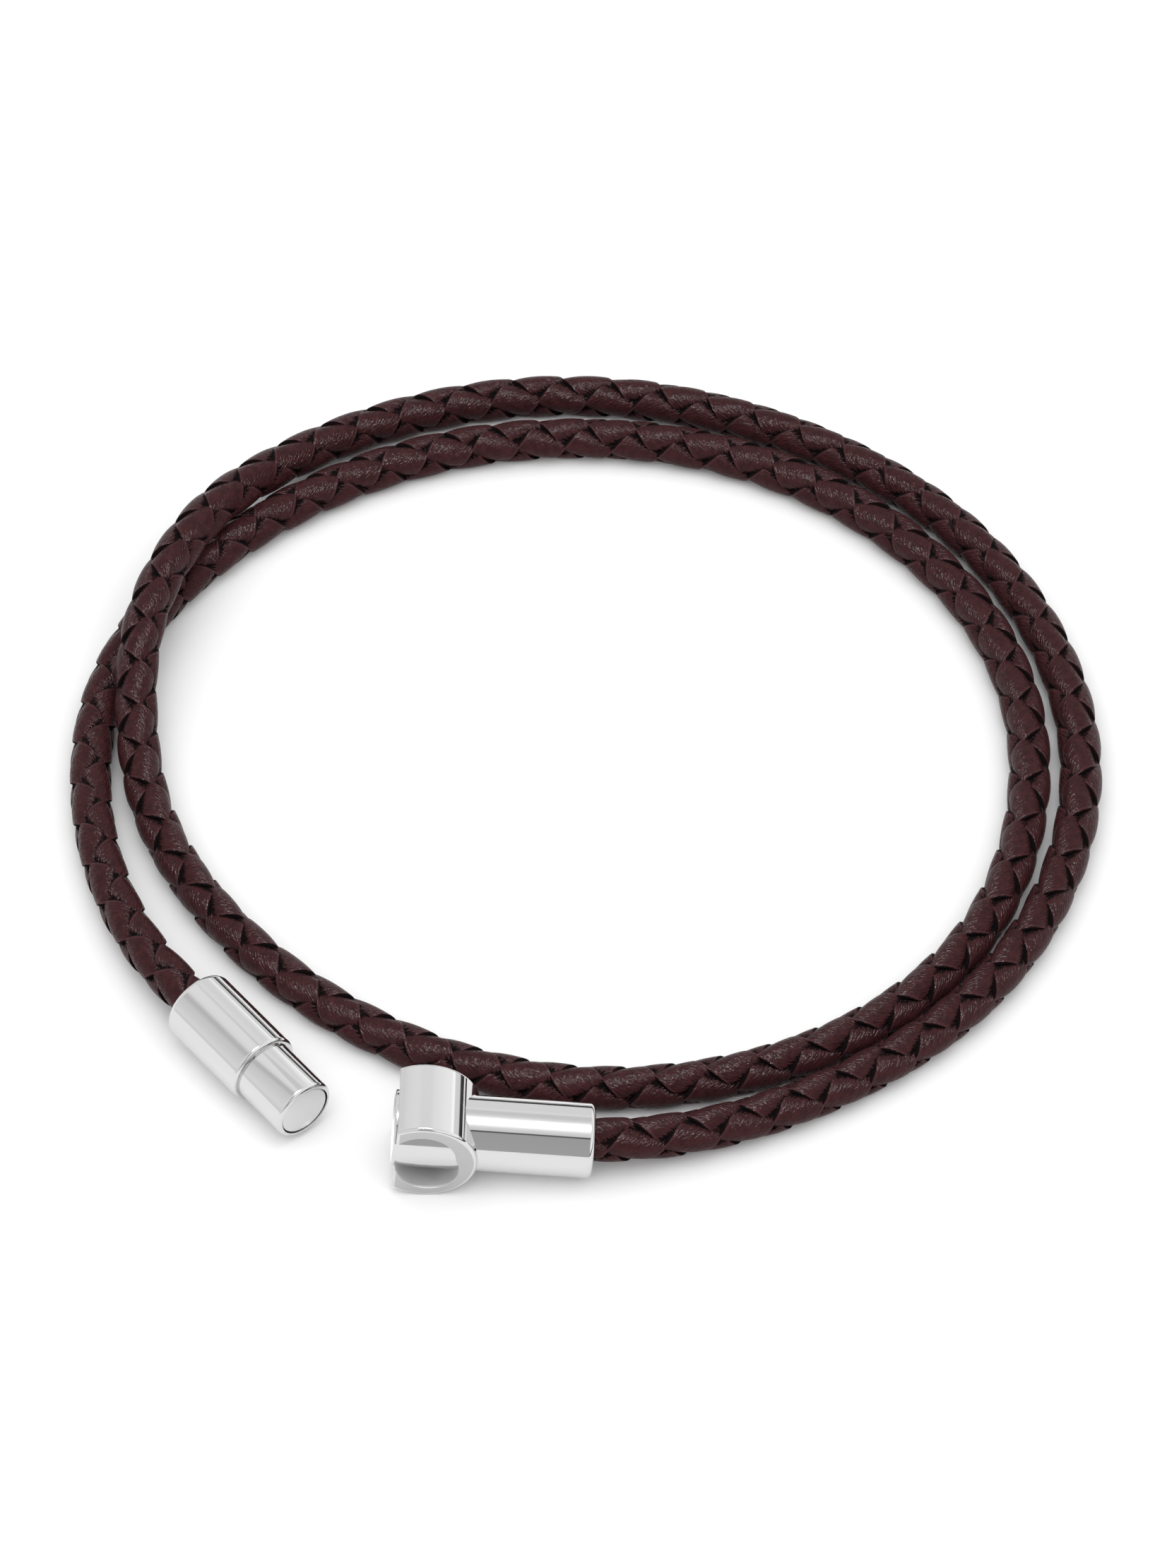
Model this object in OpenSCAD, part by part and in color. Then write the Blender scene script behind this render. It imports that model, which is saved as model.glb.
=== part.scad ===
// Double-wrap bracelet: a round plaited leather cord lying in two turns,
// open, with the two steel halves of a magnetic clasp on its ends.
// Millimetres, +Z up, standing on z = 0 with the origin under the middle.

/* [Cord] */
// Thickness of the plaited cord
cord_d = 2.9; // [2.4:0.1:2.9]
// Number of cross-sections that the cord is swept through
cord_rings = 79; // [50:1:80]

/* [End cap] */
// Diameter of the barrel that the cord is glued into
barrel_d = 5.3; // [4.8:0.1:5.6]
// Length of the barrel
barrel_len = 7.75; // [7.5:0.05:10]
// Diameter of the stepped spigot that enters the socket
spigot_d = 4.56; // [4.3:0.02:4.6]
// Length of the spigot
spigot_len = 4.6; // [4:0.1:4.8]
// Rounding of the barrel's edge round the cord
barrel_round = 0.5; // [0.3:0.05:0.6]
// Rounding of the barrel's step and of the spigot's end
lip_round = 0.28; // [0.1:0.02:0.3]

/* [Magnet] */
// Diameter of the magnet disc in the spigot's end
magnet_d = 3.8; // [3.2:0.1:3.8]
// Thickness of the magnet disc
magnet_len = 1.5; // [1:0.1:2]
// Gap round the disc, and how far its face lies below the spigot's end
magnet_gap = 0.05; // [0.02:0.01:0.06]

/* [Clasp socket] */
// Diameter of the tube
tube_d = 5.2; // [5.1:0.1:5.4]
// Length of tube from the cross bar's axis to the cord's end
tube_reach = 11.5; // [10:0.5:14]
// Rounding of the tube's edge round the cord
tube_round = 0.35; // [0.1:0.05:0.4]
// How far the tube stands out of the cross bar's flat
tube_out = 0.2; // [0.1:0.05:0.6]
// Rounding of the tube's edge round the socket
mouth_round = 0.15; // [0.05:0.05:0.2]
// Diameter of the socket that takes the spigot
socket_d = 4.68; // [4.64:0.02:4.7]
// Depth of the socket
socket_depth = 4.85; // [4.8:0.05:5.5]

/* [Cross bar] */
// Diameter of the bar's round side
bar_d = 7.3; // [7:0.1:7.6]
// Length of the bar, front to back
bar_len = 5.75; // [5.5:0.05:6.5]
// Distance from the bar's axis to its flat
bar_flat = 2; // [1.8:0.1:2.2]
// Rounding of the bar's front and back edges
bar_round = 0.48; // [0.2:0.02:0.5]

/* [Cord bores] */
// Diameter of the bore that the cord is glued into
cord_bore_d = 3.4; // [3.3:0.1:3.6]
// Depth of the bore in the barrel and in the tube
cord_bore_depth = 6; // [5.5:0.5:6]

/* [Hidden] */
$fn = 64;

SIDES = 8;
CUT = 1;

// Where the end cap lies: the middle of its barrel's rear face and its turn
cap_rear = [-26.99, -23.73, barrel_d/2];
cap_turn = -50.4;
cap_dir = [cos(cap_turn), sin(cap_turn), 0];
cap_len = barrel_len + spigot_len;

// Where the cross bar lies. Its round side and the tube's end both rest on
// the surface, which leans the tube down towards the cord.
bar_at = [-10.8, -35.6, bar_d/2];
tube_turn = -0.9;
tube_lean = asin(bar_d/2 / norm([tube_reach, tube_d/2])) - atan2(tube_d/2, tube_reach);
tube_dir = [cos(tube_lean)*cos(tube_turn), cos(tube_lean)*sin(tube_turn), -sin(tube_lean)];
tube_mouth = bar_at + tube_reach*tube_dir;

// The window through the cross bar: two rounds of [x, z, radius] from its axis
WINDOW = [[-0.1, 0.4, 2.25], [0.25, -0.65, 2.18]];

// The cord's route from the end cap round to the tube: [x, y, lift], where
// the lift is how far the cord's underside is above the surface
ROUTE = [
    [-31.5, -18, 0.5], [-35, -9, 0], [-36, 0, 0], [-35.2, 7, 0],
    [-32.8, 13.5, 0], [-28.2, 20, 0], [-21.5, 26.2, 0], [-12, 31.2, 0],
    [-1, 33, 0], [10.5, 31.5, 0], [20.5, 26, 0], [28.5, 17, 0],
    [32.5, 6.5, 0], [32.5, -5, 0], [29, -16, 0], [21.5, -24.5, 0],
    [11.5, -29.5, 0], [0, -31, 0], [-10.5, -28, 0], [-20, -22, 0],
    [-27.3, -13.5, 0], [-31.5, -5, 0], [-32.6, 2.5, 1], [-32.7, 8, 2.7],
    [-31.8, 13, 3.4], [-30, 18, 3.4], [-27.5, 23, 2.8], [-23.5, 28.5, 1],
    [-16.5, 34, 0], [-6, 37.3, 0], [5.5, 37, 0], [16.5, 33, 0],
    [26, 26.2, 0], [32.6, 17, 0], [36.2, 6, 0], [36.2, -5.5, 0],
    [32.2, -16.7, 0], [25.1, -25.5, 0], [16, -31.4, 0], [8, -34.5, 0.3]
];

// The route's control points, run straight into both bores along their axes
path = concat(
    [for (along = [7.5, 4, 0]) cap_rear + along*cap_dir],
    [for (p = ROUTE) [p.x, p.y, cord_d/2 + p.z]],
    [for (along = [1, -4, -8]) tube_mouth + along*tube_dir]
);

// Point of a smooth curve (uniform cubic B-spline) at u spans along it
function curve_at(c, u) =
    let (i = min(floor(u), len(c) - 4), t = u - i)
    (pow(1 - t, 3)*c[i] + (3*pow(t, 3) - 6*t*t + 4)*c[i + 1]
        + (-3*pow(t, 3) + 3*t*t + 3*t + 1)*c[i + 2] + pow(t, 3)*c[i + 3])/6;

// Direction of the same curve at u
function curve_dir(c, u) =
    let (i = min(floor(u), len(c) - 4), t = u - i)
    unit(-pow(1 - t, 2)*c[i] + (3*t*t - 4*t)*c[i + 1]
        + (-3*t*t + 2*t + 1)*c[i + 2] + t*t*c[i + 3]);

function unit(v) = v/norm(v);

// One cross-section of the cord: a regular polygon square to dir
function ring(centre, dir) =
    let (side = unit(cross(dir, [0, 0, 1])), up = cross(side, dir))
    [for (k = [0:SIDES - 1]) let (a = k*360/SIDES)
        centre + cord_d/2*(cos(a)*side + sin(a)*up)];

module braid_cord() {
    spans = len(path) - 3;
    steps = [for (i = [0:cord_rings - 1]) i*spans/(cord_rings - 1)];
    points = [for (u = steps) each ring(curve_at(path, u), curve_dir(path, u))];
    walls = [for (i = [0:cord_rings - 2], k = [0:SIDES - 1])
        let (a = i*SIDES + k, b = i*SIDES + (k + 1) % SIDES)
        each [[a, a + SIDES, b], [b, a + SIDES, b + SIDES]]];
    first = [for (k = [0:SIDES - 1]) k];
    last = [for (k = [SIDES - 1:-1:0]) (cord_rings - 1)*SIDES + k];
    color([0.25, 0.17, 0.18]) polyhedron(points, concat(walls, [first, last]));
}

// A turned rod from z = 0 up, with its lower and upper edges rounded
module rod(r, len, low_round, high_round) {
    rotate_extrude() {
        translate([0, low_round]) square([r, len - low_round - high_round]);
        square([r - low_round, len/2]);
        translate([0, len/2]) square([r - high_round, len/2]);
        translate([r - low_round, low_round]) circle(low_round);
        translate([r - high_round, len - high_round]) circle(high_round);
    }
}

// Puts z = 0 on the barrel's rear face, with +Z along the cap to its magnet
module on_cap() {
    translate(cap_rear) rotate([0, 0, cap_turn]) rotate([0, 90, 0]) children();
}

module end_cap() {
    recess_r = magnet_d/2 + magnet_gap;
    recess_len = magnet_len + 2*magnet_gap;
    color("gainsboro") on_cap() difference() {
        union() {
            rod(barrel_d/2, barrel_len, barrel_round, lip_round);
            translate([0, 0, CUT]) rod(spigot_d/2, cap_len - CUT, lip_round, lip_round);
        }
        translate([0, 0, -CUT]) cylinder(h = cord_bore_depth + CUT, d = cord_bore_d);
        translate([0, 0, cap_len - recess_len]) cylinder(h = recess_len + CUT, r = recess_r);
    }
}

module cap_magnet() {
    color("silver") on_cap() translate([0, 0, cap_len - magnet_len - magnet_gap])
        cylinder(h = magnet_len, d = magnet_d);
}

// Puts the origin on the cross bar's axis, with +X along the tube to the cord
module on_bar() {
    translate(bar_at) rotate([0, tube_lean, tube_turn]) children();
}

// The D-section bar, open through its length
module cross_bar() {
    difference() {
        translate([0, bar_len/2, 0]) rotate([90, 0, 0])
            rod(bar_d/2, bar_len, bar_round, bar_round);
        translate([-bar_flat - bar_d, -bar_len, -bar_d])
            cube([bar_d, 2*bar_len, 2*bar_d]);
        rotate([90, 0, 0]) for (w = WINDOW)
            translate([w[0], w[1], 0]) cylinder(h = bar_len + 2*CUT, r = w[2], center = true);
    }
}

module clasp_socket() {
    mouth_at = -bar_flat - tube_out;
    color("gainsboro") on_bar() difference() {
        union() {
            cross_bar();
            translate([mouth_at, 0, 0]) rotate([0, 90, 0])
                rod(tube_d/2, tube_reach - mouth_at, mouth_round, tube_round);
        }
        translate([mouth_at - CUT, 0, 0]) rotate([0, 90, 0])
            cylinder(h = socket_depth + CUT, d = socket_d);
        translate([tube_reach - cord_bore_depth, 0, 0]) rotate([0, 90, 0])
            cylinder(h = cord_bore_depth + CUT, d = cord_bore_d);
    }
}

braid_cord();
end_cap();
cap_magnet();
clasp_socket();
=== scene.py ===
"""Double-wrap bracelet: a round plait of four leather laces and a magnetic clasp's two halves.

The plait lies in two turns on a pale floor. Its laces are modelled one by one along the cord's
route, and the steel end cap, its magnet and the clasp socket are turned, bored and finished.
"""

from __future__ import annotations

import logging
import math
from dataclasses import dataclass, field
from enum import Enum
from typing import Any

import bmesh
import bpy
import numpy as np
from bmesh.types import BMesh
from bpy.types import Material, Mesh, MeshPolygon, Node, NodeSocket, NodeTree, Object
from mathutils import Matrix, Vector


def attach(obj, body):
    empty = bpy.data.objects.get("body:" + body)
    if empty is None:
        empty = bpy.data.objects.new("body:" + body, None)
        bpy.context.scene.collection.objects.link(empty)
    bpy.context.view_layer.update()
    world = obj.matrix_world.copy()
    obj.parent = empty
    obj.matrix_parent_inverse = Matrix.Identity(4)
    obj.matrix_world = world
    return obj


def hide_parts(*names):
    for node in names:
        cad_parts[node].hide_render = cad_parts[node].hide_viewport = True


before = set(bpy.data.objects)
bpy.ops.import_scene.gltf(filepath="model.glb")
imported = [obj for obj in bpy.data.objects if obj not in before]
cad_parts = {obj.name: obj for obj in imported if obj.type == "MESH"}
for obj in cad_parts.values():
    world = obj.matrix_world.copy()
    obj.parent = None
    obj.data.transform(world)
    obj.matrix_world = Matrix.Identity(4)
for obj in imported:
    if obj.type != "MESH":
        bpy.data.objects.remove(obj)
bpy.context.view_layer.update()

MM = 0.001
# Points nearer to each other than this are merged
SPECK = 0.0005 * MM
# Points nearer to a cutting plane than this count as lying on it
ON_PLANE = 0.0001 * MM
# Edges of the steel that turn more sharply than this stay crisp
SHARP_ANGLE = math.radians(32)
BODY = "root"
LOG = logging.getLogger("bracelet")

# Linear red, green, blue and alpha
Colour = tuple[float, float, float, float]
# Places along a ramp, each with its level of grey
Levels = tuple[tuple[float, float], ...]

# The clasp halves' places, as the construction has them, in metres
CAP_REAR = Vector((-26.99, -23.73, 2.65)) * MM
CAP_TURN = math.radians(-50.4)
BAR_AT = Vector((-10.8, -35.6, 3.65)) * MM
TUBE_TURN = math.radians(-0.9)

# The cord's route from the end cap round to the tube: (x, y, lift) in millimetres,
# where the lift is how far the cord's underside is above the floor
ROUTE = (
    (-31.5, -18, 0.5), (-35, -9, 0), (-36, 0, 0), (-35.2, 7, 0),
    (-32.8, 13.5, 0), (-28.2, 20, 0), (-21.5, 26.2, 0), (-12, 31.2, 0),
    (-1, 33, 0), (10.5, 31.5, 0), (20.5, 26, 0), (28.5, 17, 0),
    (32.5, 6.5, 0), (32.5, -5, 0), (29, -16, 0), (21.5, -24.5, 0),
    (11.5, -29.5, 0), (0, -31, 0), (-10.5, -28, 0), (-20, -22, 0),
    (-27.3, -13.5, 0), (-31.5, -5, 0), (-32.6, 2.5, 1), (-32.7, 8, 2.7),
    (-31.8, 13, 3.4), (-30, 18, 3.4), (-27.5, 23, 2.8), (-23.5, 28.5, 1),
    (-16.5, 34, 0), (-6, 37.3, 0), (5.5, 37, 0), (16.5, 33, 0),
    (26, 26.2, 0), (32.6, 17, 0), (36.2, 6, 0), (36.2, -5.5, 0),
    (32.2, -16.7, 0), (25.1, -25.5, 0), (16, -31.4, 0), (8, -34.5, 0.3),
)


def linear(hex_colour: str) -> Colour:
    """Turns an sRGB colour into the linear one that a shader takes.

    Args:
        hex_colour: Six hex digits after a hash.

    Returns:
        Linear red, green, blue and an alpha of one.
    """
    parts = [int(hex_colour[i : i + 2], 16) / 255 for i in (1, 3, 5)]
    red, green, blue = (c / 12.92 if c <= 0.04045 else ((c + 0.055) / 1.055) ** 2.4 for c in parts)
    return red, green, blue, 1.0


def add_node(
    tree: NodeTree,
    kind: str,
    links: dict[str | int, Any] | None = None,
    stops: list[tuple[float, Colour]] | None = None,
    **settings: Any,
) -> Node:
    """Adds one node with its inputs and settings.

    Args:
        tree: The node tree it goes into.
        kind: The node's type name.
        links: Each input by name or number, with the socket or the value that it gets.
        stops: A ramp's stops, each with its place from 0 to 1 and its colour.
        settings: The node's own properties.

    Returns:
        The new node.
    """
    node = tree.nodes.new(kind)
    for name, value in settings.items():
        setattr(node, name, value)
    for name, value in (links or {}).items():
        if isinstance(value, NodeSocket):
            tree.links.new(value, node.inputs[name])
        else:
            node.inputs[name].default_value = value
    if stops:
        elements = node.color_ramp.elements
        while len(elements) < len(stops):
            elements.new(1.0)
        for element, (place, colour) in zip(elements, stops):
            element.position = place
            element.color = colour
    return node


def new_material(name: str) -> tuple[Material, NodeTree]:
    """Makes an empty node material.

    Args:
        name: The material's name.

    Returns:
        The material and its node tree.
    """
    material = bpy.data.materials.new(name)
    material.use_nodes = True
    tree = material.node_tree
    tree.nodes.clear()
    return material, tree


def as_mesh(name: str, work: BMesh) -> Mesh:
    """Turns a bmesh into a mesh and frees it.

    Args:
        name: The mesh's name.
        work: The finished bmesh.

    Returns:
        The mesh.
    """
    mesh = bpy.data.meshes.new(name)
    work.to_mesh(mesh)
    work.free()
    return mesh


def placed(name: str, mesh: Mesh) -> Object:
    """Makes a mesh an object at the origin.

    Args:
        name: The object's name.
        mesh: Its mesh.

    Returns:
        The object, linked to the scene and smooth.
    """
    mesh.shade_smooth()
    made = bpy.data.objects.new(name, mesh)
    bpy.context.scene.collection.objects.link(made)
    return made


def faded(value: np.ndarray, start: float, full: float) -> np.ndarray:
    """Fades in from 0 at the start to 1 where it is full, on whichever side that lies."""
    return np.clip((value - start) / (full - start), 0, 1)


@dataclass(frozen=True)
class WaxedLeather:
    """Drum-dyed, waxed cowhide: dark red-brown, satin where smooth, wrinkled where it bends."""

    name: str = "waxed_cowhide"
    dye: str = "#31181a"
    worn: str = "#3e1f21"
    # A painted highlight: a light line along a lace's rounded edges, where they catch the light
    rim_highlight_colour: str = "#45282b"
    # Painted shade in the creases between laces and on their cut edges, which are also made rough
    # so that they hardly reflect
    crease_shade: str = "#080001"
    roughness: float = 0.22
    rough_crease: float = 1.0
    ior: float = 1.4
    specular: float = 0.1
    wrinkle_length_mm: float = 0.5
    wrinkle_gap_mm: float = 0.14
    wrinkle_slant: float = math.radians(18)
    wrinkle_depth_mm: float = 0.18
    # The wrinkles' depth where the lace lies flat, as a share of their full depth
    flat_relief: float = 0.6
    # The dye's faint clouds: their size, and the noise's levels where it is dark and where worn
    cloud_mm: float = 0.625
    cloud_dark: float = 0.35
    cloud_worn: float = 0.7
    # The painted crease shade starts and is full where the mark "tuck", less the wrinkles, reaches
    # these
    shade_start: float = 0.31
    shade_full: float = 0.42

    def material(self) -> Material:
        """Builds the material.

        Its UV map is in millimetres along and across the lace. The wrinkles are drawn a little
        coarser than real so that they show. They are deepest where the lace bends under the next.

        Returns:
            The material.
        """
        material, tree = new_material(self.name)
        uv = add_node(tree, "ShaderNodeUVMap", uv_map="lace").outputs["UV"]
        tuck, bend, rim = (
            add_node(tree, "ShaderNodeAttribute", attribute_name=mark).outputs["Fac"]
            for mark in ("tuck", "bend", "rim")
        )
        slanted = add_node(
            tree,
            "ShaderNodeMapping",
            {
                "Vector": uv,
                "Rotation": (0, 0, self.wrinkle_slant),
                "Scale": (self.wrinkle_length_mm, self.wrinkle_gap_mm, 1),
            },
            vector_type="TEXTURE",
        )
        wrinkles = add_node(
            tree,
            "ShaderNodeTexNoise",
            {"Vector": slanted.outputs["Vector"], "Scale": 1.0, "Detail": 2.0, "Roughness": 0.5},
            noise_dimensions="2D",
        ).outputs["Fac"]
        clouds = add_node(
            tree,
            "ShaderNodeTexNoise",
            {"Vector": uv, "Scale": 1 / self.cloud_mm, "Detail": 3.0, "Roughness": 0.6},
            noise_dimensions="2D",
        ).outputs["Fac"]
        tone = add_node(
            tree,
            "ShaderNodeValToRGB",
            {"Fac": clouds},
            stops=[(self.cloud_dark, linear(self.dye)), (self.cloud_worn, linear(self.worn))],
        ).outputs["Color"]
        # Painted highlight: the rounded edges are lightened where the mark "rim" is high
        with_highlight = add_node(
            tree, "ShaderNodeMix", {0: rim, 6: tone, 7: linear(self.rim_highlight_colour)}, data_type="RGBA"
        ).outputs[2]
        # Painted shade: tucks and cut edges darken towards the crease colour, behind a border
        # toothed by the wrinkles
        toothed = add_node(
            tree, "ShaderNodeMath", {0: tuck, 1: wrinkles}, operation="SUBTRACT"
        ).outputs[0]
        shade = add_node(
            tree,
            "ShaderNodeMapRange",
            {"Value": toothed, "From Min": self.shade_start, "From Max": self.shade_full},
        ).outputs["Result"]
        colour = add_node(
            tree, "ShaderNodeMix", {0: shade, 6: with_highlight, 7: linear(self.crease_shade)}, data_type="RGBA"
        ).outputs[2]
        gloss = add_node(
            tree,
            "ShaderNodeMapRange",
            {"Value": shade, "To Min": self.roughness, "To Max": self.rough_crease},
        ).outputs["Result"]
        height = add_node(
            tree, "ShaderNodeMapRange", {"Value": bend, "To Min": self.flat_relief}
        ).outputs["Result"]
        relief = add_node(tree, "ShaderNodeMath", {0: wrinkles, 1: height}, operation="MULTIPLY")
        bump = add_node(
            tree,
            "ShaderNodeBump",
            {"Height": relief.outputs[0], "Strength": 1.0, "Distance": self.wrinkle_depth_mm * MM},
        ).outputs["Normal"]
        shader = add_node(
            tree,
            "ShaderNodeBsdfPrincipled",
            {
                "Base Color": colour,
                "Roughness": gloss,
                "IOR": self.ior,
                "Specular IOR Level": self.specular,
                "Normal": bump,
            },
        )
        add_node(tree, "ShaderNodeOutputMaterial", {"Surface": shader.outputs["BSDF"]})
        return material


@dataclass(frozen=True)
class PolishedSteel:
    """Mirror-polished stainless steel: clear dark and light bands, a trace of wiping marks."""

    name: str = "mirror_polished_stainless"
    colour: str = "#d4d4d4"
    # Its roughness where clean and where wiped, the noise's levels for both, and its marks' size
    roughness: float = 0.05
    rough_wiped: float = 0.08
    clean_level: float = 0.3
    wiped_level: float = 0.7
    mark_mm: float = 1.11

    def material(self) -> Material:
        """Builds the material.

        Returns:
            The material.
        """
        material, tree = new_material(self.name)
        where = add_node(tree, "ShaderNodeTexCoord").outputs["Object"]
        wiped = add_node(
            tree,
            "ShaderNodeTexNoise",
            {"Vector": where, "Scale": 1 / (self.mark_mm * MM), "Detail": 3.0},
        ).outputs["Fac"]
        sheen = add_node(
            tree,
            "ShaderNodeMapRange",
            {
                "Value": wiped,
                "From Min": self.clean_level,
                "From Max": self.wiped_level,
                "To Min": self.roughness,
                "To Max": self.rough_wiped,
            },
        ).outputs["Result"]
        shader = add_node(
            tree,
            "ShaderNodeBsdfPrincipled",
            {"Base Color": linear(self.colour), "Metallic": 1.0, "Roughness": sheen},
        )
        add_node(tree, "ShaderNodeOutputMaterial", {"Surface": shader.outputs["BSDF"]})
        return material


@dataclass(frozen=True)
class SatinSteel:
    """Bead-blasted stainless steel: one even grey with a fine sparkle of grain."""

    name: str = "bead_blasted_stainless"
    colour: str = "#bababa"
    roughness: float = 0.4
    grain_mm: float = 0.12
    grain_depth_mm: float = 0.004

    def material(self) -> Material:
        """Builds the material, its grain drawn about twice as coarse as real so that it shows.

        Returns:
            The material.
        """
        material, tree = new_material(self.name)
        where = add_node(tree, "ShaderNodeTexCoord").outputs["Object"]
        grain = add_node(
            tree,
            "ShaderNodeTexNoise",
            {"Vector": where, "Scale": 1 / (self.grain_mm * MM), "Detail": 2.0},
        ).outputs["Fac"]
        bump = add_node(
            tree,
            "ShaderNodeBump",
            {"Height": grain, "Strength": 1.0, "Distance": self.grain_depth_mm * MM},
        ).outputs["Normal"]
        shader = add_node(
            tree,
            "ShaderNodeBsdfPrincipled",
            {
                "Base Color": linear(self.colour),
                "Metallic": 1.0,
                "Roughness": self.roughness,
                "Normal": bump,
            },
        )
        add_node(tree, "ShaderNodeOutputMaterial", {"Surface": shader.outputs["BSDF"]})
        return material


@dataclass(frozen=True)
class ReamedSteel(SatinSteel):
    """Reamed stainless steel, as in a bore: paler and duller, with faint marks of the tool."""

    name: str = "reamed_stainless"
    colour: str = "#dcdcdc"
    roughness: float = 0.7
    grain_mm: float = 0.2
    grain_depth_mm: float = 0.003


@dataclass(frozen=True)
class NickelPlate(SatinSteel):
    """Satin nickel plate, as on a magnet: pale and soft, almost without grain."""

    name: str = "satin_nickel_plate"
    colour: str = "#dadada"
    roughness: float = 0.5
    grain_mm: float = 0.1
    grain_depth_mm: float = 0.001


@dataclass(frozen=True)
class MattBoard:
    """Matt white board: pale and even, with hardly any gloss."""

    name: str = "matt_white_board"
    colour: str = "#f4f4f4"
    roughness: float = 0.9
    specular: float = 0.1

    def material(self) -> Material:
        """Builds the material.

        Returns:
            The material.
        """
        material, tree = new_material(self.name)
        shader = add_node(
            tree,
            "ShaderNodeBsdfPrincipled",
            {
                "Base Color": linear(self.colour),
                "Roughness": self.roughness,
                "Specular IOR Level": self.specular,
            },
        )
        add_node(tree, "ShaderNodeOutputMaterial", {"Surface": shader.outputs["BSDF"]})
        return material


class Hand(Enum):
    """Which way a lace winds round the cord, seen along it."""

    RIGHT = 1
    LEFT = -1


@dataclass(frozen=True)
class Lace:
    """One lace of the plait: its name, its hand, and where it first lies on the outside."""

    name: str
    hand: Hand
    # Turns before it first lies on the outside, and degrees round the cord there
    crest_turn: float
    crest_angle: float


@dataclass
class Route:
    """The cord's centreline, a uniform cubic B-spline that runs straight into both bores."""

    # Height of the line over the floor where the cord rests on it
    line_height: float = 1.45 * MM
    samples_per_span: int = 120
    # Control points inside the bores, in millimetres: from the cap's rear face inwards, and from
    # the tube's end outwards
    in_cap: tuple[float, ...] = (7.5, 4, 0)
    in_tube: tuple[float, ...] = (1, -4, -8)

    def __post_init__(self) -> None:
        """Lays the curve along its control points, with its sideways and upward directions."""
        cap_dir = Vector((math.cos(CAP_TURN), math.sin(CAP_TURN), 0))
        mouth, tube_dir = ClaspSocket().cord_mouth()
        inside_cap = [CAP_REAR + along * MM * cap_dir for along in self.in_cap]
        inside_tube = [mouth + along * MM * tube_dir for along in self.in_tube]
        outside = [Vector((x * MM, y * MM, self.line_height + lift * MM)) for x, y, lift in ROUTE]
        control = np.array([tuple(p) for p in inside_cap + outside + inside_tube])
        t = np.linspace(0, 1, self.samples_per_span, endpoint=False)[:, None]
        weights = np.hstack(
            [(1 - t) ** 3, 3 * t**3 - 6 * t**2 + 4, -3 * t**3 + 3 * t**2 + 3 * t + 1, t**3]
        )
        spans = [weights @ control[i : i + 4] / 6 for i in range(len(control) - 3)]
        self.points = np.vstack(spans)
        steps = np.linalg.norm(np.diff(self.points, axis=0), axis=1)
        self.along = np.concatenate([[0.0], np.cumsum(steps)])
        self.length = float(self.along[-1])
        ahead = np.gradient(self.points, axis=0)
        ahead /= np.linalg.norm(ahead, axis=1)[:, None]
        side = np.cross(ahead, (0, 0, 1))
        side /= np.linalg.norm(side, axis=1)[:, None]
        self.side = side
        self.up = np.cross(side, ahead)

    def at(self, along: np.ndarray) -> tuple[np.ndarray, np.ndarray, np.ndarray]:
        """Looks up the centreline.

        Args:
            along: Distances along the cord, in metres.

        Returns:
            The points there, the sideways directions and the upward directions.
        """
        found = []
        for column in (self.points, self.side, self.up):
            parts = [np.interp(along, self.along, column[:, k]) for k in range(3)]
            found.append(np.stack(parts, axis=1))
        return tuple(found)


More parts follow.
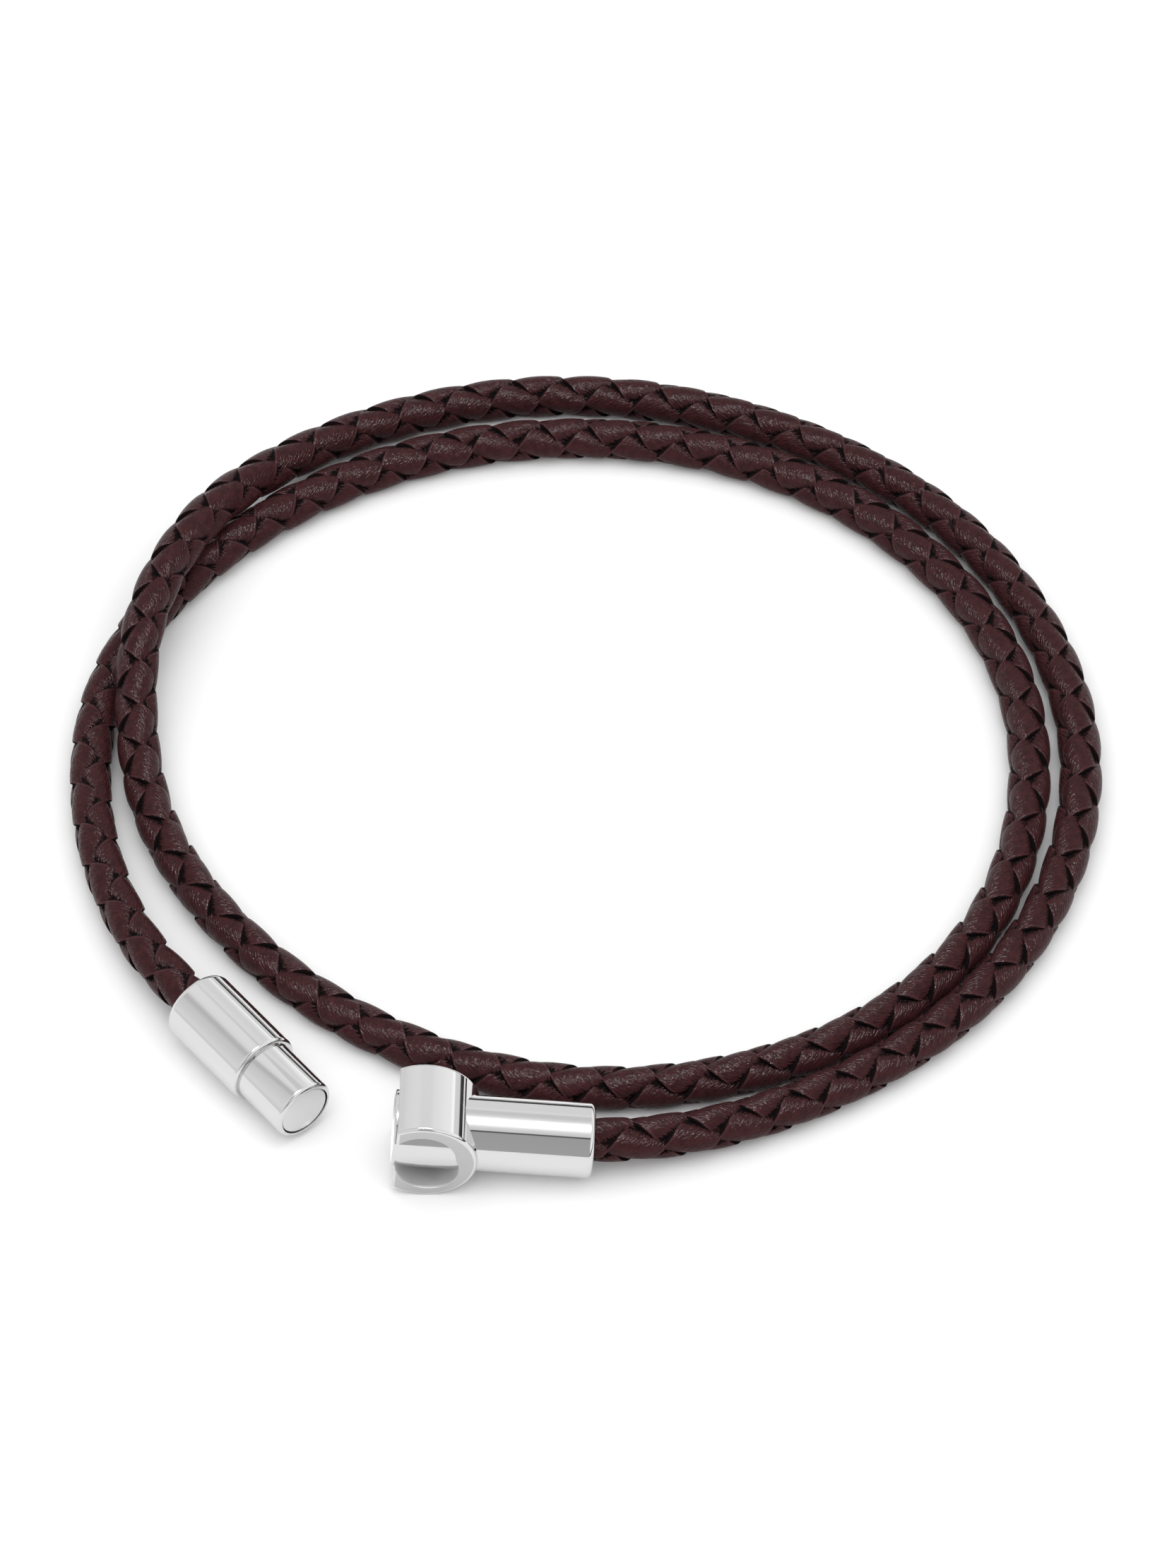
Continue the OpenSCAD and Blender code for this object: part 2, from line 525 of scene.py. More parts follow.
@dataclass
class PlaitedCord:
    """The round four-strand plait, each lace passing over one and under one of the other hand."""

    route: Route = field(default_factory=Route)
    cad_node: str = "braid_cord"
    # Length of cord in which a lace goes round once
    pitch: float = 7.7 * MM
    # A lace's outer face from the cord's line, where it lies on top and where it is tucked under
    crest_radius: float = 1.57 * MM
    sunk_radius: float = 0.86 * MM
    # A lace's extent along the cord, its thickness, and how far its edges drop below its middle
    lace_span: float = 4.45 * MM
    lace_thickness: float = 0.4 * MM
    crown: float = 0.08 * MM
    # How much longer a lace stays on top than a plain wave would, and how far, in radians of
    # that wave, its edges run ahead of its middle
    dome_width: float = 0.3
    skew: float = 1.2
    floor_gap: float = 0.01 * MM
    rings_per_pitch: int = 84
    path_points: int = 400
    # Millimetres in the UV map between a lace's top and its underside
    underside_shift: float = 10.0
    # The cord's nominal thickness
    diameter: float = 3.0 * MM
    finish: WaxedLeather = field(default_factory=WaxedLeather)
    laces: tuple[Lace, ...] = (
        Lace("plait_lace_a", Hand.RIGHT, 0.0, 0.0),
        Lace("plait_lace_b", Hand.RIGHT, 0.5, 0.0),
        Lace("plait_lace_c", Hand.LEFT, -0.25, 90.0),
        Lace("plait_lace_d", Hand.LEFT, 0.25, 90.0),
    )
    # Where the material's marks start and are full: by a lace's rise, which is 1 on top, or by the
    # share of its half width at which a point lies, which is 1 at its edge. The tucks and cut edges
    # get painted shade, and the rim a painted highlight
    tuck_by_rise: tuple[float, float] = (0.9, 0.25)
    bend_by_rise: tuple[float, float] = (0.95, 0.45)
    cut_by_edge: tuple[float, float] = (0.9, 0.93)
    cut_strength: float = 1.5
    rim_rising: tuple[float, float] = (0.8, 0.85)
    rim_falling: tuple[float, float] = (0.9, 0.88)
    # A lace's section from its edge over the top and back: (across, height), both from -1 to 1
    outline: tuple[tuple[float, float], ...] = (
        (1, -0.4), (0.985, 0.2), (0.955, 0.75), (0.915, 0.98), (0.86, 1), (0.8, 1), (0.58, 1),
        (0.35, 1), (0.12, 1), (-0.12, 1), (-0.35, 1), (-0.58, 1), (-0.8, 1), (-0.86, 1),
        (-0.915, 0.98), (-0.955, 0.75), (-0.985, 0.2), (-1, -0.4), (-0.95, -1), (-0.3, -1),
        (0.3, -1), (0.95, -1), (1, -0.4),
    )
    # How far the plait is rolled about its line and slipped along it: (mm along, degrees, mm)
    drift: tuple[tuple[float, float, float], ...] = (
        (9, 40, 3.6), (27, 47, 3.5), (39, 62, 3.0), (63, 114, 1.9), (87, 187, 0.6), (105, 215, 0.0),
        (147, 192, 1.0), (171, 185, 0.5), (183, 170, -0.1), (195, 167, -1.1), (207, 149, -2.1),
        (225, 110, -3.0), (237, 100, -3.8), (249, 109, -4.6), (273, 122, -3.6), (303, 177, -4.4),
        (333, 190, -4.7), (363, 197, -4.0), (393, 200, -4.7),
    )

    def build(self) -> list[Object]:
        """Returns:
            The four pieces.
        """
        material = self.finish.material()
        made = [self.lace(lace, material) for lace in self.laces]
        for piece in made:
            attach(piece, BODY)
            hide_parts(self.cad_node)
        line = np.linspace(0, self.route.length, self.path_points)
        self.route.at(line)[0].tolist()
        return made

    def section(self, round_share: np.ndarray) -> tuple[np.ndarray, np.ndarray]:
        """Gives the lace's cross-section, flat with rounded edges.

        Args:
            round_share: How far round the section, from 0 to 1.

        Returns:
            The place across from -1 to 1 and the height from -1 to 1.
        """
        across, height = np.array(self.outline).T
        shares = np.linspace(0, 1, len(across))
        return np.interp(round_share, shares, across), np.interp(round_share, shares, height)

    def lace_points(
        self, lace: Lace, along_share: np.ndarray, round_share: np.ndarray
    ) -> tuple[np.ndarray, dict[str, np.ndarray]]:
        """Works out where points of a lace lie.

        Args:
            lace: The lace.
            along_share: How far along the lace, from 0 to 1.
            round_share: How far round its section, from 0 to 1.

        Returns:
            The points, and the material's marks: "tuck" where a point is tucked under the next lace
            or on a cut edge, where painted shade goes, "bend" where the lace bends, and "rim"
            beside its cut edge, where a painted highlight goes.
        """
        across, height = self.section(round_share)
        half_span = self.lace_span / 2
        places, rolls, slips = np.array(self.drift).T
        start = half_span - slips[0] * MM
        middle = start + along_share * (self.route.length - half_span - slips[-1] * MM - start)
        turn = 2 * np.pi * (middle / self.pitch - lace.crest_turn)
        ideal = middle + across * half_span
        along = np.clip(ideal + np.interp(ideal / MM, places, slips) * MM, 0, self.route.length)
        rise = np.cos(2 * turn + self.skew * across)
        rise = rise * (1 + self.dome_width) - self.dome_width * rise**3
        mid_radius = (self.crest_radius + self.sunk_radius) / 2
        swing = (self.crest_radius - self.sunk_radius) / 2
        radius = mid_radius + swing * rise - self.crown * across**2
        radius += (height - 1) * self.lace_thickness / 2
        angle = math.radians(lace.crest_angle) + lace.hand.value * turn
        angle += np.radians(np.interp(ideal / MM, places, rolls))
        centre, side, up = self.route.at(along)
        outward = np.sin(angle)[:, None] * side + np.cos(angle)[:, None] * up
        points = centre + radius[:, None] * outward
        points[:, 2] = np.maximum(points[:, 2], self.floor_gap)
        edge = np.abs(across)
        # The cut edges' sides and the tucks get painted shade, and the rim a painted highlight
        cut = self.cut_strength * faded(edge, *self.cut_by_edge)
        marks = {
            "tuck": np.maximum(faded(rise, *self.tuck_by_rise), cut),
            "bend": faded(rise, *self.bend_by_rise),
            "rim": faded(edge, *self.rim_rising) * faded(edge, *self.rim_falling),
        }
        return points, marks

    def lace(self, lace: Lace, material: Material) -> Object:
        """Models one lace from a grid that is wound into its closed flat tube.

        Args:
            lace: The lace.
            material: Its finish.

        Returns:
            The piece.
        """
        rings = int(self.route.length / self.pitch * self.rings_per_pitch)
        work = bmesh.new()
        work.loops.layers.uv.new("lace")
        bmesh.ops.create_grid(
            work, x_segments=rings, y_segments=len(self.outline) - 1, size=1.0, calc_uvs=True
        )
        mesh = as_mesh(lace.name, work)
        flat = np.empty(len(mesh.vertices) * 3)
        mesh.vertices.foreach_get("co", flat)
        flat = flat.reshape(-1, 3)
        points, marks = self.lace_points(lace, (flat[:, 0] + 1) / 2, (flat[:, 1] + 1) / 2)
        mesh.vertices.foreach_set("co", points.ravel())
        for name, values in marks.items():
            mesh.attributes.new(name, "FLOAT", "POINT").data.foreach_set("value", values)
        self.scale_uv(mesh)
        work = bmesh.new()
        work.from_mesh(mesh)
        bpy.data.meshes.remove(mesh)
        bmesh.ops.remove_doubles(work, verts=work.verts[:], dist=SPECK)
        open_edges = [e for e in work.edges if e.is_boundary]
        bmesh.ops.holes_fill(work, edges=open_edges, sides=0)
        bmesh.ops.recalc_face_normals(work, faces=work.faces[:])
        piece = placed(lace.name, as_mesh(lace.name, work))
        piece.data.materials.append(material)
        return piece

    def scale_uv(self, mesh: Mesh) -> None:
        """Brings the grid's UV map to millimetres along and across the lace.

        Args:
            mesh: The lace's mesh, with its UV map still from 0 to 1.
        """
        layer = mesh.uv_layers["lace"].data
        uv = np.empty(len(layer) * 2)
        layer.foreach_get("uv", uv)
        uv = uv.reshape(-1, 2)
        across, height = self.section(uv[:, 1])
        slope = math.hypot(1, 2 * math.pi * self.crest_radius / self.pitch)
        shift = across * self.lace_span / 2 / MM
        uv[:, 0] *= self.route.length / MM
        uv[:, 0] = uv[:, 0] * slope + shift / slope
        uv[:, 1] = shift * math.sqrt(1 - 1 / slope**2)
        uv[:, 1] += np.where(height < 0, self.underside_shift, 0)
        layer.foreach_set("uv", uv.ravel())


@dataclass(frozen=True)
class Corner:
    """One corner of a turned outline, in metres: its radius, its place on Z and its rounding."""

    radius: float
    along: float
    rounding: float = 0.0


def turned(corners: list[Corner], segments: int = 160, arc_steps: int = 6) -> BMesh:
    """Turns an outline about Z into a closed solid, from the axis round to the axis.

    Args:
        corners: The outline; its first and last corner lie on the axis.
        segments: Steps round the full turn.
        arc_steps: Steps in each rounded corner.

    Returns:
        The solid, with its axis on Z.
    """
    work = bmesh.new()
    dots = [work.verts.new((c.radius, 0, c.along)) for c in corners]
    for first, second in zip(dots[:-1], dots[1:]):
        work.edges.new((first, second))
    for dot, corner in zip(dots, corners):
        if corner.rounding > 0:
            bmesh.ops.bevel(
                work,
                geom=[dot],
                offset=corner.rounding,
                offset_type="OFFSET",
                segments=arc_steps,
                profile=0.5,
                affect="VERTICES",
                material=-1,
            )
    bmesh.ops.spin(
        work,
        geom=work.verts[:] + work.edges[:],
        cent=(0, 0, 0),
        axis=(0, 0, 1),
        dvec=(0, 0, 0),
        angle=2 * math.pi,
        steps=segments,
        use_merge=True,
        use_duplicate=False,
    )
    bmesh.ops.remove_doubles(work, verts=work.verts[:], dist=SPECK)
    bmesh.ops.recalc_face_normals(work, faces=work.faces[:])
    return work


def rod(radius: float, start: float, end: float, low: float = 0, high: float = 0) -> BMesh:
    """Turns a rod along Z, from start to end, with its low and high edges rounded by so much."""
    edges = [Corner(radius, start, low), Corner(radius, end, high)]
    return turned([Corner(0, start), *edges, Corner(0, end)])


class Cut(Enum):
    """How a tool piece changes the piece that it is applied to."""

    JOIN = "UNION"
    BORE = "DIFFERENCE"


def shaped(base: BMesh, tools: list[tuple[BMesh, Cut]]) -> Mesh:
    """Joins and bores a solid with others, in order.

    Args:
        base: The solid to start from.
        tools: Each other solid and what it does.

    Returns:
        The mesh that results, without the specks that the cuts leave.
    """
    body = placed("blank", as_mesh("blank", base))
    cutters = []
    for work, cut in tools:
        cutter = placed("cutter", as_mesh("cutter", work))
        step = body.modifiers.new(cut.name, "BOOLEAN")
        step.operation = cut.value
        step.solver = "EXACT"
        step.object = cutter
        cutters.append(cutter)
    graph = bpy.context.evaluated_depsgraph_get()
    mesh = bpy.data.meshes.new_from_object(body.evaluated_get(graph))
    for temporary in [body, *cutters]:
        bpy.data.objects.remove(temporary)
    work = bmesh.new()
    work.from_mesh(mesh)
    bmesh.ops.remove_doubles(work, verts=work.verts[:], dist=SPECK)
    bmesh.ops.dissolve_degenerate(work, dist=SPECK, edges=work.edges[:])
    work.to_mesh(mesh)
    work.free()
    return mesh


def steel_piece(name: str, mesh: Mesh, finishes: list[Material]) -> Object:
    """Finishes a turned or bored mesh as a piece: crisp edges, even shading, its materials.

    Args:
        name: The piece's name.
        mesh: Its mesh, in place.
        finishes: Its materials.

    Returns:
        The piece, riding on the body.
    """
    mesh.name = name
    piece = placed(name, mesh)
    mesh.set_sharp_from_angle(angle=SHARP_ANGLE)
    even = piece.modifiers.new("even_shading", "WEIGHTED_NORMAL")
    even.keep_sharp = True
    mesh.materials.clear()
    for finish in finishes:
        mesh.materials.append(finish)
    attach(piece, BODY)
    return piece


@dataclass
class EndCap:
    """The male half: a barrel glued on the cord's end, with a spigot that holds a magnet."""

    barrel_radius: float = 2.65 * MM
    barrel_length: float = 7.75 * MM
    spigot_radius: float = 2.28 * MM
    spigot_length: float = 4.6 * MM
    barrel_round: float = 0.5 * MM
    lip_round: float = 0.28 * MM
    edge_round: float = 0.06 * MM
    bore_radius: float = 1.7 * MM
    bore_depth: float = 6.0 * MM
    magnet_radius: float = 1.88 * MM
    magnet_length: float = 1.5 * MM
    # The gap at both of the magnet's faces, and the ring-shaped one round it
    magnet_gap: float = 0.05 * MM
    magnet_moat: float = 0.07 * MM
    magnet_edge: float = 0.12 * MM
    # Depth and width of the groove at the spigot's foot
    groove: float = 0.09 * MM

    def place(self) -> Matrix:
        """Gives the transform that lays Z along the cap, from its rear face to its magnet."""
        turn = Matrix.Rotation(CAP_TURN, 4, "Z") @ Matrix.Rotation(math.pi / 2, 4, "Y")
        return Matrix.Translation(CAP_REAR) @ turn

    def build(self, steel: Material, satin: Material) -> list[Object]:
        """Makes the cap and its magnet.

        Args:
            steel: The polished finish.
            satin: The magnet's finish.

        Returns:
            The two pieces.
        """
        length = self.barrel_length + self.spigot_length
        recess = length - self.magnet_length - 2 * self.magnet_gap
        recess_radius = self.magnet_radius + self.magnet_moat
        outline = [
            Corner(0, self.bore_depth),
            Corner(self.bore_radius, self.bore_depth),
            Corner(self.bore_radius, 0, self.edge_round),
            Corner(self.barrel_radius, 0, self.barrel_round),
            Corner(self.barrel_radius, self.barrel_length, self.lip_round),
            Corner(self.spigot_radius - self.groove, self.barrel_length),
            Corner(self.spigot_radius - self.groove, self.barrel_length + self.groove),
            Corner(self.spigot_radius, self.barrel_length + 2 * self.groove),
            Corner(self.spigot_radius, length, self.lip_round),
            Corner(recess_radius, length, self.edge_round),
            Corner(recess_radius, recess),
            Corner(0, recess),
        ]
        work = turned(outline)
        work.transform(self.place())
        cap = steel_piece("cap_barrel", as_mesh("end_cap", work), [steel])
        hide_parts("end_cap")
        face = length - self.magnet_gap
        disc = rod(self.magnet_radius, face - self.magnet_length, face, 0, self.magnet_edge)
        disc.transform(self.place())
        magnet = steel_piece("magnet_disc", as_mesh("magnet", disc), [satin])
        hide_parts("cap_magnet")
        return [cap, magnet]


class SocketFinish(Enum):
    """The clasp socket's finishes, by their place among its materials."""

    POLISHED = 0
    BLASTED = 1
    REAMED = 2


@dataclass
class ClaspSocket:
    """The female half: a plain tube that runs through a short D-section cross bar."""

    bar_radius: float = 3.65 * MM
    bar_length: float = 5.75 * MM
    bar_flat: float = 2.0 * MM
    bar_round: float = 0.26 * MM
    flat_round: float = 0.2 * MM
    tube_radius: float = 2.6 * MM
    tube_reach: float = 11.5 * MM
    tube_out: float = 0.2 * MM
    tube_round: float = 0.35 * MM
    mouth_round: float = 0.15 * MM
    socket_radius: float = 2.34 * MM
    socket_depth: float = 4.85 * MM
    bore_radius: float = 1.7 * MM
    bore_depth: float = 6.0 * MM
    # How far the cutters stand out of what they cut
    overshoot: float = 1.0 * MM
    # The window through the bar: rounds of (x, z, radius) from its axis, in millimetres
    window: tuple[tuple[float, float, float], ...] = ((-0.1, 0.4, 2.25), (0.25, -0.65, 2.18))
    # The facets that round the flat's edges, in degrees from the flat
    first_facet: int = 9
    facet_step: int = 12
    # How near to a bored wall a face lies that belongs to it, and how squarely it faces inwards
    wall_slack: float = 0.03 * MM
    wall_facing: float = 0.99
    # How squarely a face of the bar's ends faces out, and how far along the bar it lies
    end_facing: float = 0.999
    end_share: float = 0.99

    def place(self) -> Matrix:
        """Lays X along the tube, which leans down until its end rests on the floor as the bar does.

        Returns:
            The transform, with its origin on the bar's axis.
        """
        lean = math.asin(self.bar_radius / math.hypot(self.tube_reach, self.tube_radius))
        lean -= math.atan2(self.tube_radius, self.tube_reach)
        turn = Matrix.Rotation(TUBE_TURN, 4, "Z") @ Matrix.Rotation(lean, 4, "Y")
        return Matrix.Translation(BAR_AT) @ turn

    def cord_mouth(self) -> tuple[Vector, Vector]:
        """Gives the middle of the tube's end where the cord enters, and the direction out of it."""
        place = self.place()
        return place @ Vector((self.tube_reach, 0, 0)), place.to_3x3() @ Vector((1, 0, 0))

    def bar(self) -> BMesh:
        """Models the D-section bar along Y: a rounded rod, cut flat on its -X side.

        Returns:
            The bar.
        """
        half = self.bar_length / 2
        work = rod(self.bar_radius, -half, half, self.bar_round, self.bar_round)
        work.transform(Matrix.Rotation(math.pi / 2, 4, "X"))
        for normal, distance in self.flat_cuts():
            bmesh.ops.bisect_plane(
                work,
                geom=work.verts[:] + work.edges[:] + work.faces[:],
                dist=ON_PLANE,
                plane_co=normal * distance,
                plane_no=normal,
                clear_outer=True,
            )
            bmesh.ops.holes_fill(work, edges=[e for e in work.edges if e.is_boundary], sides=0)
        bmesh.ops.recalc_face_normals(work, faces=work.faces[:])
        return work

    def flat_cuts(self) -> list[tuple[Vector, float]]:
        """Gives the planes that cut the flat and round its four edges with narrow facets.

        Returns:
            Each plane's outward normal and its distance from the bar's axis.
        """
        inset = self.bar_flat - self.flat_round
        end = self.bar_length / 2 - self.flat_round
        shoulder = math.sqrt((self.bar_radius - self.flat_round) ** 2 - inset**2)
        meeting = math.degrees(math.acos(self.bar_flat / self.bar_radius))
        cuts = [(Vector((-1, 0, 0)), self.bar_flat)]
        for degrees in range(self.first_facet, 90, self.facet_step):
            lean = math.radians(degrees)
            for side in (1, -1):
                ends = Vector((-math.cos(lean), side * math.sin(lean), 0))
                cuts.append((ends, ends.dot(Vector((-inset, side * end, 0))) + self.flat_round))
                if degrees < meeting:
                    edges = Vector((-math.cos(lean), 0, side * math.sin(lean)))
                    middle = Vector((-inset, 0, side * shoulder))
                    cuts.append((edges, edges.dot(middle) + self.flat_round))
        return cuts

    def along_x(self, work: BMesh) -> BMesh:
        """Turns a rod on Z so that it lies on X."""
        work.transform(Matrix.Rotation(math.pi / 2, 4, "Y"))
        return work

    def through_bar(self, x: float, z: float, radius: float) -> BMesh:
        """Makes the round cutter for one round of the window.

        Args:
            x: Its place along the tube from the bar's axis, in millimetres.
            z: Its place above the bar's axis, in millimetres.
            radius: Its radius, in millimetres.

        Returns:
            The cutter, lying on Y.
        """
        half = self.bar_length / 2 + self.overshoot
        work = rod(radius * MM, -half, half)
        work.transform(Matrix.Rotation(math.pi / 2, 4, "X"))
        work.transform(Matrix.Translation((x * MM, 0, z * MM)))
        return work

    def on_wall(self, face: MeshPolygon, inward: Vector, radius: float) -> bool:
        """Tells whether a face lies on a bored wall: a radius from its axis, and facing it."""
        near = abs(inward.length - radius) < self.wall_slack
        return near and inward.normalized().dot(face.normal) > self.wall_facing

    def finish_of(self, face: MeshPolygon) -> SocketFinish:
        """Tells a face's finish.

        Args:
            face: A face of the socket before it is put in place.

        Returns:
            Reamed on the bored walls, blasted on the bar's end faces, and else polished.
        """
        centre = face.center
        to_axes = [(Vector((0, -centre.y, -centre.z)), self.socket_radius)]
        for x, z, radius in self.window:
            to_axes.append((Vector((x * MM - centre.x, 0, z * MM - centre.z)), radius * MM))
        if any(self.on_wall(face, inward, radius) for inward, radius in to_axes):
            return SocketFinish.REAMED
        at_end = abs(centre.y) > self.end_share * self.bar_length / 2
        if at_end and abs(face.normal.y) > self.end_facing:
            return SocketFinish.BLASTED
        return SocketFinish.POLISHED

    def build(self, steel: Material, satin: Material, reamed: Material) -> list[Object]:
        """Makes the socket.

        Args:
            steel: The polished finish.
            satin: The finish of the bar's two end faces.
            reamed: The finish of the window's and the socket's walls.

        Returns:
            The one piece, in a list.
        """
        mouth = -self.bar_flat - self.tube_out
        reach = self.tube_reach
        tube = rod(self.tube_radius, mouth, reach, self.mouth_round, self.tube_round)
        socket = rod(self.socket_radius, mouth - self.overshoot, mouth + self.socket_depth)
        bore = rod(self.bore_radius, reach - self.bore_depth, reach + self.overshoot)
        tools = [(self.through_bar(*w), Cut.BORE) for w in self.window]
        tools.append((self.along_x(tube), Cut.JOIN))
        tools += [(self.along_x(w), Cut.BORE) for w in (socket, bore)]
        mesh = shaped(self.bar(), tools)
        finishes = [self.finish_of(face).value for face in mesh.polygons]
        mesh.transform(self.place())
        piece = steel_piece("clasp_socket_steel", mesh, [steel, satin, reamed])
        mesh.polygons.foreach_set("material_index", finishes)
        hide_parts("clasp_socket")
        return [piece]


@dataclass
class Studio:
    """The camera at the photograph's angle, a pale floor and plain soft light."""

    camera_at: Vector = field(default_factory=lambda: Vector((0, -278.7, 319.2)) * MM)
    look_at: Vector = field(default_factory=lambda: Vector((0, -2.5, 1.5)) * MM)
    # The angle of view over the height of the photograph's upright frame, 1652 by 2220 pixels
    upright_view: float = math.radians(15.33)
    nearest_seen: float = 0.01
    floor_size: float = 3.0
    board: MattBoard = field(default_factory=MattBoard)
    # The level that the tent's ramps call full
    brightest: float = 9.0
    # The levels that matt surfaces are lit with from the front and from the back, and the share
    # of a direction that lies to the front or back where each is full
    front_fill: float = 1.5
    back_fill: float = 1.0
    fill_change: float = 0.3
    # How much of that comes from the horizon and from overhead, which keeps the shadows short
    low_share: float = 0.3
    high_share: float = 1.7
    # The sideways share of a direction at which the side walls begin and are all that is seen,
    # and how many times nearer the left one starts than the right
    wall_start: float = 0.16
    wall_full: float = 0.31
    left_nearer: float = 1.6
    # The lamp that only glints: its size and place in metres, and its power in watts
    lamp_width: float = 0.2
    lamp_depth: float = 0.1
    lamp_at: tuple[float, float, float] = (-0.02, -0.02, 0.8)
    lamp_power: float = 15.0
    # The tent down its middle: degrees from overhead towards the front, and level. Its two dark
    # strips, low at the back and in front, give the steel its dark lines.
    overhead: Levels = (
        (-90, 0.05), (-81, 0.05), (-79, 0.95), (-47, 0.95), (-45, 1.0), (-37.5, 1.0), (-36, 0.83),
        (-28, 0.81), (-22, 0.86), (-16, 1.03), (-10, 1.38), (-5, 3.2), (-3, 9), (6, 9), (8, 3.2),
        (13, 1.3), (20, 0.97), (29.5, 0.82), (30.8, 0.1), (33.7, 0.1), (35.5, 0.47), (90, 0.5),
    )
    # The tent on its left, by the same angle
    left_wall: Levels = (
        (-90, 0.9), (-58, 0.93), (-50, 0.9), (-45, 0.98), (-40, 1.03), (-25, 1.05), (-18, 1.0),
        (-13, 0.68), (-9, 0.68), (-4, 0.82), (7, 0.88), (32, 0.98), (60, 0.92), (90, 0.85),
    )
    # The tent on its right: height from 0 to 1, and level, with a dark strip along the floor
    right_wall: Levels = (
        (0, 0.05), (0.12, 0.05), (0.15, 0.92), (0.3, 0.92), (0.33, 1.4), (0.37, 1.4), (0.42, 1.2),
        (0.5, 1.19), (0.6, 1.15), (0.72, 1.08), (0.8, 1.03), (1, 1.05),
    )

    def camera(self) -> None:
        """Sets up the camera."""
        data = bpy.data.cameras.new("camera")
        data.sensor_fit = "VERTICAL"
        data.lens = data.sensor_height / 2 / math.tan(self.upright_view / 2)
        data.clip_start = self.nearest_seen
        camera = bpy.data.objects.new("camera", data)
        camera.location = self.camera_at
        camera.rotation_euler = (self.look_at - self.camera_at).to_track_quat("-Z", "Y").to_euler()
        bpy.context.scene.collection.objects.link(camera)
        bpy.context.scene.camera = camera

    def floor(self) -> None:
        """Lays the pale floor."""
        material = self.board.material()
        work = bmesh.new()
        bmesh.ops.create_grid(work, x_segments=1, y_segments=1, size=self.floor_size / 2)
        floor = placed("floor", as_mesh("floor", work))
        floor.data.materials.append(material)

    def greys(self, levels: Levels, start: float, end: float) -> list[tuple[float, Colour]]:
        """Turns levels into a ramp's stops.

        Args:
            levels: Each stop's place and its level.
            start: The place at which the ramp starts.
            end: The place at which the ramp ends.

        Returns:
            Each stop's place from 0 to 1 and its grey, as a share of the brightest.
        """
        return [
            ((place - start) / (end - start), (level / self.brightest,) * 3 + (1.0,))
            for place, level in levels
        ]

    def tent(self, tree: NodeTree, axes: dict[str, NodeSocket]) -> NodeSocket:
        """Makes the pale tent that shows in the gloss of steel and leather.

        Its brightness goes by the angle about X, from the back over the top to the front, but on
        the right it goes by height.

        Args:
            tree: The world's node tree.
            axes: The direction's parts along X, Y and Z.

        Returns:
            Its brightness.
        """
        toward = add_node(tree, "ShaderNodeMath", {0: axes["Y"], 1: -1.0}, operation="MULTIPLY")
        angle = add_node(
            tree, "ShaderNodeMath", {0: toward.outputs[0], 1: axes["Z"]}, operation="ARCTAN2"
        )
        share = add_node(
            tree,
            "ShaderNodeMapRange",
            {"Value": angle.outputs[0], "From Min": -math.pi / 2, "From Max": math.pi / 2},
        ).outputs["Result"]
        middle, left, right = (
            add_node(tree, "ShaderNodeValToRGB", {"Fac": factor}, stops=stops).outputs["Color"]
            for factor, stops in (
                (share, self.greys(self.overhead, -90, 90)),
                (share, self.greys(self.left_wall, -90, 90)),
                (axes["Z"], self.greys(self.right_wall, 0, 1)),
            )
        )
        is_right = add_node(tree, "ShaderNodeMath", {0: axes["X"], 1: 0}, operation="GREATER_THAN")
        walls = add_node(
            tree, "ShaderNodeMix", {0: is_right.outputs[0], 6: left, 7: right}, data_type="RGBA"
        )
        leftward = add_node(
            tree, "ShaderNodeMath", {0: axes["X"], 1: -self.left_nearer}, operation="MULTIPLY"
        )
        sideways = add_node(
            tree, "ShaderNodeMath", {0: axes["X"], 1: leftward.outputs[0]}, operation="MAXIMUM"
        )
        blend = add_node(
            tree,
            "ShaderNodeMapRange",
            {"Value": sideways.outputs[0], "From Min": self.wall_start, "From Max": self.wall_full},
            interpolation_type="SMOOTHSTEP",
        ).outputs["Result"]
        tent = add_node(
            tree, "ShaderNodeMix", {0: blend, 6: middle, 7: walls.outputs[2]}, data_type="RGBA"
        )
        full = (self.brightest,) * 3
        return add_node(
            tree, "ShaderNodeVectorMath", {0: tent.outputs[2], 1: full}, operation="MULTIPLY"
        ).outputs[0]

    def soft_fill(self, tree: NodeTree, axes: dict[str, NodeSocket]) -> NodeSocket:
        """Makes the plain light of matt surfaces, stronger from the front and from overhead.

        Args:
            tree: The world's node tree.
            axes: The direction's parts along X, Y and Z.

        Returns:
            Its brightness.
        """
        fill = add_node(
            tree,
            "ShaderNodeMapRange",
            {
                "Value": axes["Y"],
                "From Min": -self.fill_change,
                "From Max": self.fill_change,
                "To Min": self.front_fill,
                "To Max": self.back_fill,
            },
        ).outputs["Result"]
        rise = add_node(tree, "ShaderNodeMath", {0: axes["Z"], 1: axes["Z"]}, operation="MULTIPLY")
        share_up = add_node(
            tree,
            "ShaderNodeMapRange",
            {"Value": rise.outputs[0], "To Min": self.low_share, "To Max": self.high_share},
        ).outputs["Result"]
        return add_node(
            tree, "ShaderNodeMath", {0: fill, 1: share_up}, operation="MULTIPLY"
        ).outputs[0]

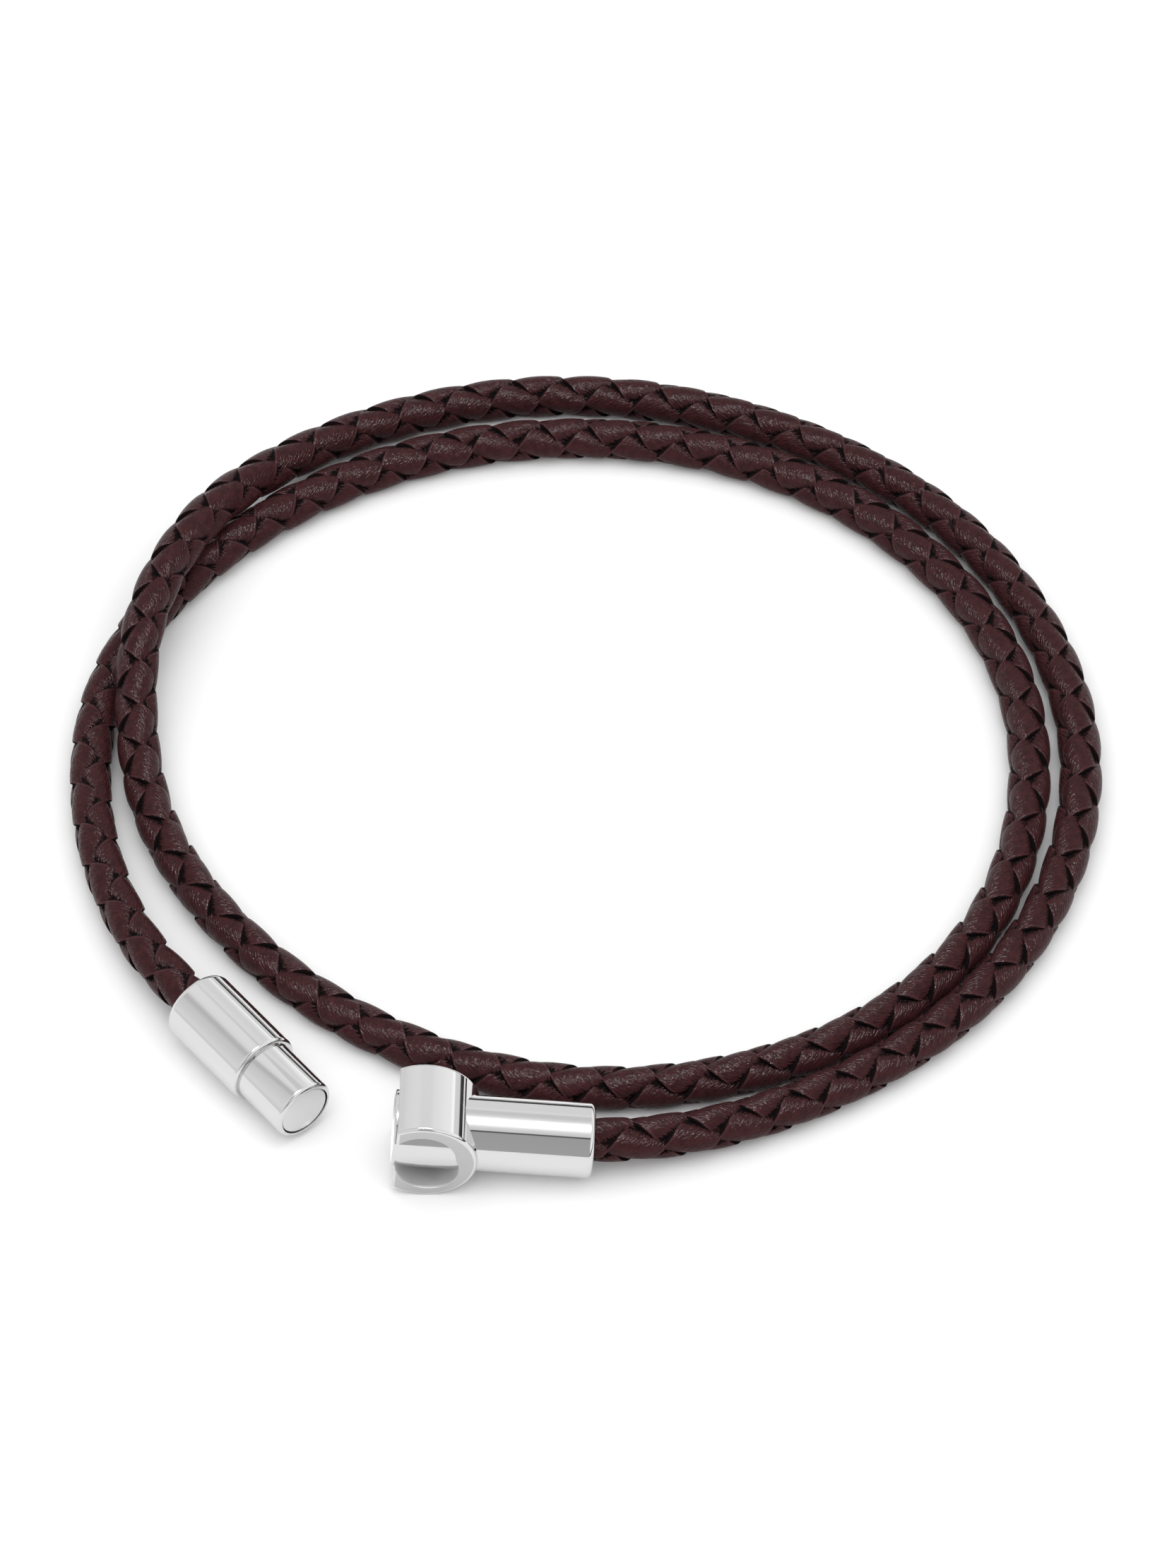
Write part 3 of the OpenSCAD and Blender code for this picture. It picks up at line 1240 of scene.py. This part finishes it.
    def surroundings(self) -> None:
        """Shows the tent to glossy surfaces, the fill to matt ones and white to the camera."""
        world = bpy.data.worlds.new("studio")
        bpy.context.scene.world = world
        world.use_nodes = True
        tree = world.node_tree
        tree.nodes.clear()
        where = add_node(tree, "ShaderNodeTexCoord").outputs["Generated"]
        axes = dict(add_node(tree, "ShaderNodeSeparateXYZ", {"Vector": where}).outputs.items())
        ray = add_node(tree, "ShaderNodeLightPath").outputs
        lit = add_node(
            tree,
            "ShaderNodeMix",
            {0: ray["Is Diffuse Ray"], 6: self.tent(tree, axes), 7: self.soft_fill(tree, axes)},
            data_type="RGBA",
        )
        seen = add_node(
            tree,
            "ShaderNodeMix",
            {0: ray["Is Camera Ray"], 6: lit.outputs[2], 7: linear("#ffffff")},
            data_type="RGBA",
        )
        background = add_node(tree, "ShaderNodeBackground", {"Color": seen.outputs[2]})
        add_node(tree, "ShaderNodeOutputWorld", {"Surface": background.outputs["Background"]})

    def overhead_light(self) -> None:
        """Adds the lamp overhead, which only glints on waxed wrinkles and on the steel."""
        lamp = bpy.data.lights.new("softbox", "AREA")
        lamp.shape = "RECTANGLE"
        lamp.size = self.lamp_width
        lamp.size_y = self.lamp_depth
        lamp.energy = self.lamp_power
        light = bpy.data.objects.new("softbox", lamp)
        light.location = self.lamp_at
        light.visible_diffuse = False
        bpy.context.scene.collection.objects.link(light)

    def build(self) -> None:
        """Sets up the whole studio."""
        bpy.context.scene.view_settings.view_transform = "Standard"
        self.camera()
        self.floor()
        self.surroundings()
        self.overhead_light()


def main() -> None:
    """Builds the studio, the cord and the clasp in that order, and reports each piece."""
    logging.basicConfig(level=logging.INFO, format="%(message)s")
    Studio().build()
    pieces = PlaitedCord().build()
    steel = PolishedSteel().material()
    blasted = SatinSteel().material()
    reamed = ReamedSteel().material()
    plated = NickelPlate().material()
    pieces += EndCap().build(steel, plated)
    pieces += ClaspSocket().build(steel, blasted, reamed)
    for piece in pieces:
        triangles = sum(len(p.vertices) - 2 for p in piece.data.polygons)
        LOG.info("%s: %d triangles", piece.name, triangles)


if __name__ == "__main__":
    main()
